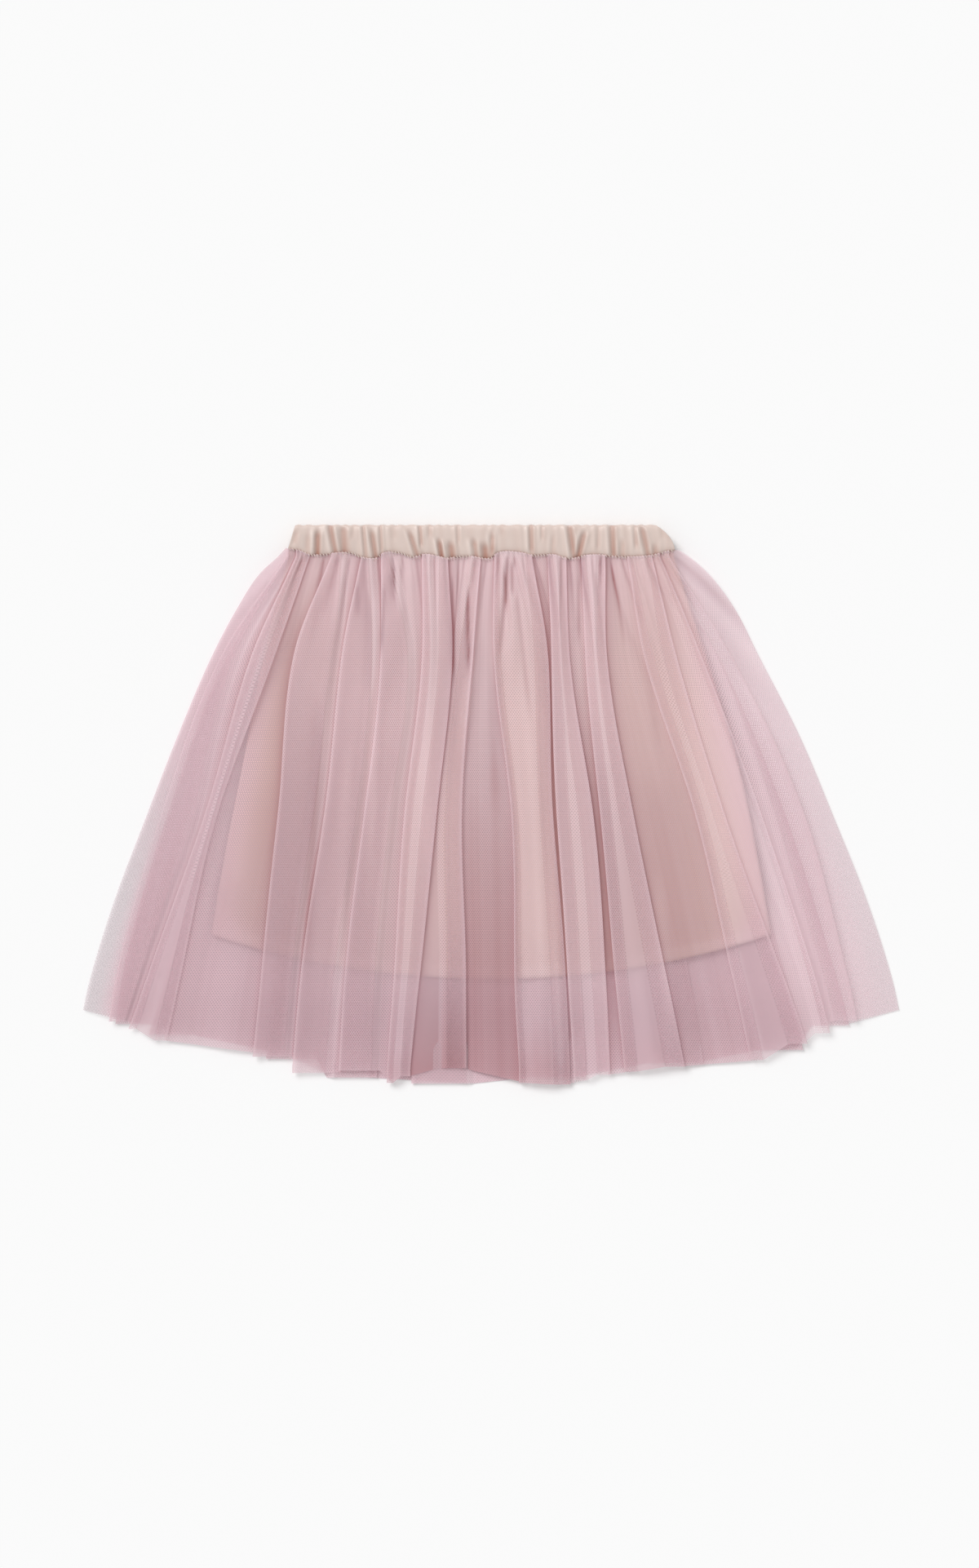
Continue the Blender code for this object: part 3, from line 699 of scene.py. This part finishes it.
def band_half(name, low, high, is_front):
    """One half of the waistband: a gathered casing, closed all round."""
    share = np.linspace(0, 1, BAND_COLUMNS)[:, None]
    tall = np.linspace(0, 1, BAND_ROWS)[None, :]
    across = blend(BAND_LEFT + LEFT_SLANT * tall, BAND_RIGHT - RIGHT_SLANT * tall**2, share)
    y = blend(SEAM_Y + seam_lift(blend(BAND_LEFT, BAND_RIGHT, share)), BAND_TOP, tall)
    y = y + 0.25 * np.sin(across * 0.9 + 1.7 * np.sin(across * 0.21)) * smooth((tall - 0.8) / 0.2)
    full = high - low
    crown = np.sqrt(np.clip(1 - ((tall - 0.5) / 0.5) ** 4, 0, 1))
    sunk, dark = band_relief(across, tall)
    face = low + full * blend(EDGE_FULLNESS, 1.0, crown) * BAND_FACE - sunk
    face = face + 0.10 * np.sin(across * 0.8 + 2.0 * np.sin(across * 0.3) + tall * 2.0)
    inner = np.full_like(across, low + full * BAND_INNER)

    loop_x = np.concatenate([across, across[:, ::-1]], 1) * MM
    loop_y = np.concatenate([y, y[:, ::-1]], 1) * MM
    loop_z = np.concatenate([face, inner], 1)
    if not is_front:
        loop_z = low + high - np.minimum(loop_z, high)
    loop_z = loop_z * MM
    mesh = bmesh.new()
    around = 2 * BAND_ROWS
    rings = [[mesh.verts.new((loop_x[i, j], loop_y[i, j], loop_z[i, j])) for j in range(around)]
             for i in range(BAND_COLUMNS)]
    for first, second in zip(rings, rings[1:]):
        for j in range(around):
            after = (j + 1) % around
            mesh.faces.new((first[j], first[after], second[after], second[j]))
    mesh.faces.new(rings[0])
    mesh.faces.new(rings[-1])
    bmesh.ops.recalc_face_normals(mesh, faces=mesh.faces)
    data = bpy.data.meshes.new(name)
    mesh.to_mesh(data)
    mesh.free()
    store(data, "painted_fold_shade", np.concatenate([dark, np.zeros_like(dark)], 1))
    data.shade_smooth()
    return add_piece(name, data)


# ---------------------------------------------------------------- thread
OVERLOCK_PITCH = 1.9    # from one stitch to the next,
OVERLOCK_LEAN = 1.1     # how far it leans across,
OVERLOCK_TALL = 2.0     # how far it runs down from just above the seam,
OVERLOCK_OVER = 0.9
OVERLOCK_RADIUS = 0.24
HEM_PITCH = 2.4
HEM_STITCH = 1.7
HEM_RADIUS = 0.14


def thread_runs(name, runs, radius, sides=5):
    """Short lengths of thread, joined into one mesh: each run is a list of points (mm)."""
    verts, faces = [], []
    for run in runs:
        run = np.asarray(run, float)
        along_run = np.gradient(run, axis=0)
        along_run /= np.linalg.norm(along_run, axis=1, keepdims=True)
        across_run = np.cross(along_run, (0.0, 0.0, 1.0))
        across_run /= np.maximum(np.linalg.norm(across_run, axis=1, keepdims=True), 1e-6)
        up_run = np.cross(across_run, along_run)
        base = len(verts)
        count = len(run)
        for k in range(count):
            slim = radius * (0.35 if k in (0, count - 1) else 1.0)
            for s in range(sides):
                angle = 2 * math.pi * s / sides
                verts.append(run[k] + slim * (math.cos(angle) * across_run[k] + math.sin(angle) * up_run[k]))
        for k in range(count - 1):
            for s in range(sides):
                a, b = base + k * sides + s, base + k * sides + (s + 1) % sides
                faces.append((a, b, b + sides, a + sides))
        faces.append([base + s for s in reversed(range(sides))])
        faces.append([base + (count - 1) * sides + s for s in range(sides)])
    data = bpy.data.meshes.new(name)
    data.from_pydata((np.asarray(verts) * MM).tolist(), [], faces)
    data.shade_smooth()
    return add_piece(name, data)


def overlock(name, z, up):
    """The overlocked edge of the waist seam: slanting stitches round the cloth's edge."""
    runs = []
    for k in range(int((BAND_RIGHT - BAND_LEFT) / OVERLOCK_PITCH)):
        x = BAND_LEFT + 0.8 + k * OVERLOCK_PITCH
        start = x + 0.25 * math.sin(k * 12.9898)
        top = SEAM_Y + float(seam_lift(x)) + OVERLOCK_OVER
        points = []
        for step in range(7):
            t = step / 6
            rise = 0.15 + 0.55 * math.sin(math.pi * t)
            points.append((start + OVERLOCK_LEAN * t, top - OVERLOCK_TALL * t, z + up * rise))
        runs.append(points)
    return thread_runs(name, runs, OVERLOCK_RADIUS)


def hem_stitches(name, points, up):
    """The stitching of the lining's hem: short stitches a little above its edge."""
    runs = []
    hem = points[-1]
    length = np.concatenate([[0.0], np.cumsum(np.hypot(*np.diff(hem[:, :2], axis=0).T))])
    at = 3.0
    while at < length[-1] - 4.0:
        run = []
        for t in (0.0, 0.33, 0.67, 1.0):
            x, y, z = (float(np.interp(at + HEM_STITCH * t, length, hem[:, k])) for k in range(3))
            run.append((x, y + HEM_STITCHING, z + up * (0.12 + 0.08 * math.sin(math.pi * t))))
        runs.append(run)
        at += HEM_PITCH
    return thread_runs(name, runs, HEM_RADIUS, 4)


# ---------------------------------------------------------------- finishes
NET_PITCH = 1.25        # mm, from hole to hole
NET_MEAN = 0.45         # the pattern's mean, which stands in for it where it isn't drawn
COVER = 0.27            # the share of its area that one ply of net covers,
HOLE_COVER = 0.55       # times this in the holes
THREAD_COVER = 1.6      # and this on the threads
TULLE_COLOUR = (0.79, 0.60, 0.65)
TULLE_PATCHES = (0.74, 0.53, 0.57)
# The _LIGHT colours are for painted light and the _DEEP ones for painted shade; the satins' _DEEP also
# darkens their weave a little.
TULLE_LIGHT = (0.95, 0.77, 0.81)
TULLE_DEEP = (0.52, 0.25, 0.275)
TULLE_RIM_SHADOW = (0.66, 0.66, 0.67)
SATIN_COLOUR = (0.64, 0.44, 0.385)
SATIN_LIGHT = (0.80, 0.64, 0.59)
SATIN_DEEP = (0.40, 0.17, 0.15)
SATIN_BLUSH = (0.74, 0.53, 0.56)
BAND_COLOUR = (0.70, 0.57, 0.515)
BAND_LIGHT = (0.84, 0.74, 0.69)
BAND_DEEP = (0.42, 0.215, 0.165)
OVERLOCK_COLOUR = (0.84, 0.72, 0.65)
HEM_COLOUR = (0.55, 0.36, 0.32)


def new_material(name):
    made = bpy.data.materials.new(name)
    made.use_nodes = True
    made.node_tree.nodes.clear()
    return made, made.node_tree


def node(tree, kind, feeds=None, **settings):
    """A node with its settings. Each input, by name or number, is fed a number, a colour or an output."""
    made = tree.nodes.new(kind)
    for label, value in settings.items():
        setattr(made, label, value)
    for label, value in (feeds or {}).items():
        socket = made.inputs[label]
        if isinstance(value, tuple):
            socket.default_value = (*value, 1.0)
        elif isinstance(value, (int, float)):
            socket.default_value = value
        else:
            tree.links.new(value, socket)
    return made


def math_node(tree, operation, *values, clamp=False):
    made = node(tree, "ShaderNodeMath", dict(enumerate(values)), operation=operation, use_clamp=clamp)
    return made.outputs[0]


def times(tree, a, b, clamp=False):
    return math_node(tree, "MULTIPLY", a, b, clamp=clamp)


def value_of(tree, label):
    """A value kept on the mesh."""
    return node(tree, "ShaderNodeAttribute", attribute_name=label).outputs["Fac"]


def mix_colour(tree, factor, a, b):
    return node(tree, "ShaderNodeMix", {0: factor, 6: a, 7: b}, data_type="RGBA").outputs[2]


def noise(tree, scale, detail=2.0):
    feeds = {"Vector": node(tree, "ShaderNodeTexCoord").outputs["Object"], "Scale": scale, "Detail": detail}
    return node(tree, "ShaderNodeTexNoise", feeds).outputs["Fac"]


def net_pattern(tree):
    """A hexagonal net from three waves, 120 degrees apart: 0 in the holes, 1 on the threads, and its mean
    where it isn't drawn."""
    net = node(tree, "ShaderNodeAttribute", attribute_name="net").outputs["Vector"]
    across, down, drawn = node(tree, "ShaderNodeSeparateXYZ", {0: net}).outputs
    waves = 4 * math.pi / (math.sqrt(3) * NET_PITCH)
    total = None
    for turn in range(3):
        angle = math.radians(90 + 120 * turn)
        along = math_node(tree, "ADD", times(tree, across, waves * math.cos(angle)),
                          times(tree, down, waves * math.sin(angle)))
        wave = math_node(tree, "COSINE", along)
        total = wave if total is None else math_node(tree, "ADD", total, wave)
    threads = node(tree, "ShaderNodeMapRange", {0: total, 1: 1.4, 2: -0.9, 3: 0.0, 4: 1.0},
                   interpolation_type="SMOOTHSTEP").outputs[0]
    return math_node(tree, "MULTIPLY_ADD", math_node(tree, "SUBTRACT", threads, NET_MEAN), drawn, NET_MEAN)


def tulle_material(name):
    made, tree = new_material(name)
    edge, dark, plies, lit, painted_rim_shadow = (
        value_of(tree, label) for label in ("fold_edge", "painted_fold_shade", "plies", "lit", "painted_rim_shadow")
    )
    # each ply leaves the same share open, so that share is raised to the number of plies
    low, high = COVER * HOLE_COVER, COVER * THREAD_COVER
    open_share = math_node(tree, "MULTIPLY_ADD", net_pattern(tree), low - high, 1.0 - low)
    alpha = math_node(tree, "SUBTRACT", 1.0, math_node(tree, "POWER", open_share, plies))
    alpha = math_node(tree, "ADD", alpha, times(tree, edge, 0.2))
    # the painted shade beside the folds' edges also thickens the net's cover there
    alpha = math_node(tree, "ADD", alpha, times(tree, dark, 0.12), clamp=True)

    colour = mix_colour(tree, times(tree, noise(tree, 60.0, 3.0), 0.16), TULLE_COLOUR, TULLE_PATCHES)
    # painted light and shade: lit lightens the colour towards TULLE_LIGHT, or darkens it towards the painted
    # shade colour
    colour = mix_colour(tree, times(tree, lit, -0.8, clamp=True), colour, TULLE_DEEP)
    colour = mix_colour(tree, times(tree, lit, 0.6, clamp=True), colour, TULLE_LIGHT)
    # a painted highlight along each fold's turned edge, where the net is also denser
    colour = mix_colour(tree, times(tree, edge, 0.32), colour, TULLE_LIGHT)
    # painted shade on the cloth beside the folds' edges
    colour = mix_colour(tree, times(tree, dark, 0.8), colour, TULLE_DEEP)
    # painted shadow of the floor, seen through the net along the side edges
    colour = mix_colour(tree, times(tree, painted_rim_shadow, 0.75, clamp=True), colour, TULLE_RIM_SHADOW)

    front = node(tree, "ShaderNodeBsdfPrincipled", {
        "Base Color": colour, "Roughness": 0.75, "Specular IOR Level": 0.25, "Sheen Weight": 0.15,
    })
    through = node(tree, "ShaderNodeBsdfTranslucent", {"Color": colour})
    body = node(tree, "ShaderNodeMixShader", {0: 0.25, 1: front.outputs[0], 2: through.outputs[0]})
    clear = node(tree, "ShaderNodeBsdfTransparent")
    seen = node(tree, "ShaderNodeMixShader", {0: alpha, 1: clear.outputs[0], 2: body.outputs[0]})
    node(tree, "ShaderNodeOutputMaterial", {"Surface": seen.outputs[0]})
    return made


def satin_material(name, colour, light, deep, sheen):
    made, tree = new_material(name)
    dark, lit, blush = (value_of(tree, label) for label in ("painted_fold_shade", "lit", "blush"))
    patches = noise(tree, 35.0, 4.0)
    place = node(tree, "ShaderNodeTexCoord").outputs["Object"]
    weave = node(tree, "ShaderNodeTexWave", {"Vector": place, "Scale": 900.0, "Distortion": 1.5},
                 bands_direction="X").outputs["Fac"]
    patched = tuple(c * 0.82 for c in colour)
    shade = mix_colour(tree, times(tree, patches, 0.18), colour, patched)
    shade = mix_colour(tree, times(tree, weave, 0.05), shade, deep)
    # painted highlights and painted shade, from lit
    shade = mix_colour(tree, times(tree, lit, 0.8, clamp=True), shade, light)
    shade = mix_colour(tree, times(tree, lit, -0.6, clamp=True), shade, deep)
    shade = mix_colour(tree, times(tree, blush, 0.8, clamp=True), shade, SATIN_BLUSH)
    # painted highlight where the fold value is below 0, and painted shade where it is above: the band's
    # creases and the lining below the slots
    shade = mix_colour(tree, times(tree, dark, -1.5, clamp=True), shade, light)
    shade = mix_colour(tree, times(tree, dark, 1.0, clamp=True), shade, deep)
    bump_map = node(tree, "ShaderNodeBump", {"Strength": 0.12, "Distance": 0.0002, "Height": weave})
    body = node(tree, "ShaderNodeBsdfPrincipled", {
        "Base Color": shade,
        "Roughness": math_node(tree, "MULTIPLY_ADD", patches, 0.14, 0.30),
        "Specular IOR Level": 0.45,
        "Sheen Weight": sheen,
        "Normal": bump_map.outputs[0],
    })
    node(tree, "ShaderNodeOutputMaterial", {"Surface": body.outputs[0]})
    return made


def thread_material(name, colour):
    made, tree = new_material(name)
    twisted = mix_colour(tree, noise(tree, 1500.0), colour, tuple(c * 0.75 for c in colour))
    body = node(tree, "ShaderNodeBsdfPrincipled", {"Base Color": twisted, "Roughness": 0.55})
    node(tree, "ShaderNodeOutputMaterial", {"Surface": body.outputs[0]})
    return made


# ---------------------------------------------------------------- the skirt
def dress(piece, material, node_name=None):
    """Give a piece its material and body, and hide the CAD's node that it stands for, if one is named."""
    piece.data.materials.append(material)
    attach(piece, "root")
    if node_name:
        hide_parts(node_name)


def build_skirt():
    tulle = tulle_material("pink_tulle")
    lining_satin = satin_material("lining_satin", SATIN_COLOUR, SATIN_LIGHT, SATIN_DEEP, 0.1)
    band_satin = satin_material("band_satin", BAND_COLOUR, BAND_LIGHT, BAND_DEEP, 0.15)
    thread = thread_material("overlock_thread", OVERLOCK_COLOUR)
    hem_thread = thread_material("hem_thread", HEM_COLOUR)

    front, front_cut = tulle_panel("tulle_front_net", FRONT_FOLDS, FRONT_STRETCHES, True)
    dress(front, tulle, "tulle_front")
    back, back_cut = tulle_panel("tulle_back_net", BACK_FOLDS, BACK_STRETCHES, False)
    dress(back, tulle, "tulle_back")

    lining_front, front_points = lining_panel("lining_front_satin", LINING_FRONT_Z, True)
    dress(lining_front, lining_satin, "lining_front")
    lining_back, back_points = lining_panel("lining_back_satin", LINING_BACK_Z, False)
    dress(lining_back, lining_satin, "lining_back")
    front_hem = hem_stitches("lining_front_stitches", front_points, 1)
    dress(front_hem, hem_thread)
    back_hem = hem_stitches("lining_back_stitches", back_points, -1)
    dress(back_hem, hem_thread)

    band_front = band_half("waistband_front_satin", band_low[2], band_high[2], True)
    dress(band_front, band_satin, "waistband_front")
    band_back = band_half("waistband_back_satin", back_low[2], back_high[2], False)
    dress(band_back, band_satin, "waistband_back")
    seam_front = overlock("waist_seam_front_overlock", FRONT_OVERLOCK_Z, 1)
    dress(seam_front, thread)
    seam_back = overlock("waist_seam_back_overlock", BACK_OVERLOCK_Z, -1)
    dress(seam_back, thread)


# ---------------------------------------------------------------- floor, light and camera
FLOOR_REACH = 4.0       # m, and how far the floor lies below the skirt
FLOOR_DROP = 0.0003
VIEW_HEIGHT = 0.961     # m, what the camera sees from top to bottom,
VIEW_MIDDLE = (-0.001, 0.01425)
CAMERA_Z = 3.006
FOCUS_Z = 0.006         # at this height
SUN_STRENGTH, SKY_STRENGTH = 1.85, 0.60
SUN_WIDE, SUN_TILT = 30, -32            # degrees


def build_stage():
    mesh = bmesh.new()
    bmesh.ops.create_grid(mesh, x_segments=1, y_segments=1, size=FLOOR_REACH)
    data = bpy.data.meshes.new("floor")
    mesh.to_mesh(data)
    mesh.free()
    floor = add_piece("floor", data)
    floor.location.z = -FLOOR_DROP
    made, tree = new_material("floor_white")
    body = node(tree, "ShaderNodeBsdfDiffuse", {"Color": (0.94, 0.94, 0.94)})
    node(tree, "ShaderNodeOutputMaterial", {"Surface": body.outputs[0]})
    data.materials.append(made)


def build_light_and_camera():
    scene = bpy.context.scene
    scene.world = bpy.data.worlds.new("studio")
    scene.world.use_nodes = True
    sky = scene.world.node_tree.nodes["Background"].inputs
    sky["Color"].default_value = (1.0, 1.0, 1.0, 1.0)
    sky["Strength"].default_value = SKY_STRENGTH
    sun = bpy.data.lights.new("key", "SUN")
    sun.energy = SUN_STRENGTH
    sun.angle = math.radians(SUN_WIDE)
    key = add_piece("key", sun)
    key.rotation_euler = (math.radians(SUN_TILT), math.radians(SUN_TILT), 0.0)
    lens = bpy.data.cameras.new("camera")
    lens.sensor_width = 36.0
    lens.lens = lens.sensor_width * (CAMERA_Z - FOCUS_Z) / VIEW_HEIGHT
    scene.camera = add_piece("camera", lens)
    scene.camera.location = (*VIEW_MIDDLE, CAMERA_Z)
    scene.view_settings.view_transform = "Standard"
    scene.cycles.transparent_max_bounces = 64
    scene.cycles.diffuse_bounces = 8


build_skirt()
build_stage()
build_light_and_camera()
